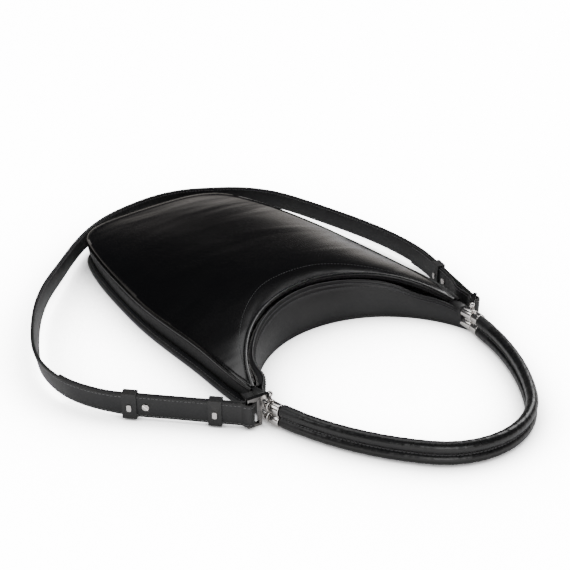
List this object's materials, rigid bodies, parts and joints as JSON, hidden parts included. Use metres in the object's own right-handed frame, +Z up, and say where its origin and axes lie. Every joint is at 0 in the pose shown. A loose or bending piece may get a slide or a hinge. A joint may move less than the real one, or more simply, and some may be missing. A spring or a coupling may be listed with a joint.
{
  "type": "shoulder bag",
  "caption": "Black leather shoulder bag lying on its back, with a curved zip mouth, a stacked double-roll handle on metal tip clamps and a long flat strap on swivel rings.",
  "frame": {"origin": "on the resting face of the back panel, on the bag's centre line, 190 mm from the line through the two tips", "axes": "+X across the bag towards the tip with the shorter strap tail, +Y from the handle towards the bag's base, +Z up from the resting face to the front panel"},
  "size_m": [0.4337, 0.5748, 0.053],
  "materials": {
    "bag_leather": "satin smooth black leather",
    "strap_leather": "satin black leather with grey edge stitching",
    "hardware_metal": "polished pale metal",
    "lining_cloth": "plain woven cloth",
    "zip_tape": "woven tape",
    "zip_teeth": "bright metal teeth",
    "core_cord": "plain cotton cord"
  },
  "bodies": {
    "bag": {"back_panel": "bag_leather", "back_welt": "bag_leather", "side_gusset": "bag_leather", "front_welt": "bag_leather", "front_panel": "bag_leather", "mouth_binding": "bag_leather", "mouth_gusset": "bag_leather", "tip_tab_left": "bag_leather", "tip_tab_right": "bag_leather", "connector_pins_left": "hardware_metal", "connector_pins_right": "hardware_metal", "bag_clamp_left": "hardware_metal", "bag_clamp_right": "hardware_metal", "handle_ferrule_left": "hardware_metal", "handle_ferrule_right": "hardware_metal", "swivel_post_left": "hardware_metal", "swivel_post_right": "hardware_metal", "lining_back": "lining_cloth", "lining_side": "lining_cloth", "lining_front": "lining_cloth", "lining_mouth": "lining_cloth", "back_zip_tape": "zip_tape", "front_zip_tape": "zip_tape", "back_zip_teeth": "zip_teeth", "front_zip_teeth": "zip_teeth", "zip_stop_left": "zip_teeth", "zip_stop_right": "zip_teeth"},
    "handle": {"handle_roll_lower": "bag_leather", "handle_roll_upper": "bag_leather", "handle_core_lower": "core_cord", "handle_core_upper": "core_cord", "handle_collar_left": "bag_leather", "handle_collar_right": "bag_leather"},
    "strap": {"strap_left": "strap_leather", "strap_right": "strap_leather", "strap_end_left": "strap_leather", "strap_end_right": "strap_leather", "strap_ring_left": "hardware_metal", "strap_ring_right": "hardware_metal", "strap_stud_left": "hardware_metal", "strap_stud_right": "hardware_metal"},
    "slider": {"zip_slider": "hardware_metal"},
    "pull": {"zip_pull": "hardware_metal"},
    "keeper_a": {"keeper_left_near": "strap_leather", "keeper_left_near_rivet": "hardware_metal"},
    "keeper_b": {"keeper_left_far": "strap_leather", "keeper_left_far_rivet": "hardware_metal"},
    "keeper_c": {"keeper_right": "strap_leather", "keeper_right_rivet": "hardware_metal"}
  },
  "joints": [
    {"name": "handle_fold", "type": "hinge", "parent": "bag", "child": "handle", "pos_m": [0, -0.2146, 0.01155], "axis": [-1, 0, 0], "range_deg": [0, 85]},
    {"name": "strap_swing", "type": "hinge", "parent": "bag", "child": "strap", "pos_m": [0, -0.188, 0.0277], "axis": [1, 0, 0], "range_deg": [0, 180]},
    {"name": "zip_slide", "type": "hinge", "parent": "bag", "child": "slider", "pos_m": [0, -0.2032, 0.0098], "axis": [0, 0.2756, -0.9613], "range_deg": [0, 130]},
    {"name": "zip_pull_flip", "type": "hinge", "parent": "slider", "child": "pull", "pos_m": [-0.11876, -0.1527, 0.02553], "axis": [0.9135, -0.391, -0.1121], "range_deg": [0, 150]},
    {"name": "keeper_a_slide", "type": "slide", "parent": "strap", "child": "keeper_a", "axis": [-0.6749, 0.7379, 0], "range_m": [-0.012, 0.04]},
    {"name": "keeper_b_slide", "type": "slide", "parent": "strap", "child": "keeper_b", "axis": [-0.6749, 0.7379, 0], "range_m": [-0.003, 0.003]},
    {"name": "keeper_c_slide", "type": "slide", "parent": "strap", "child": "keeper_c", "axis": [0.306, 0.952, 0], "range_m": [-0.006, 0.012]}
  ]
}
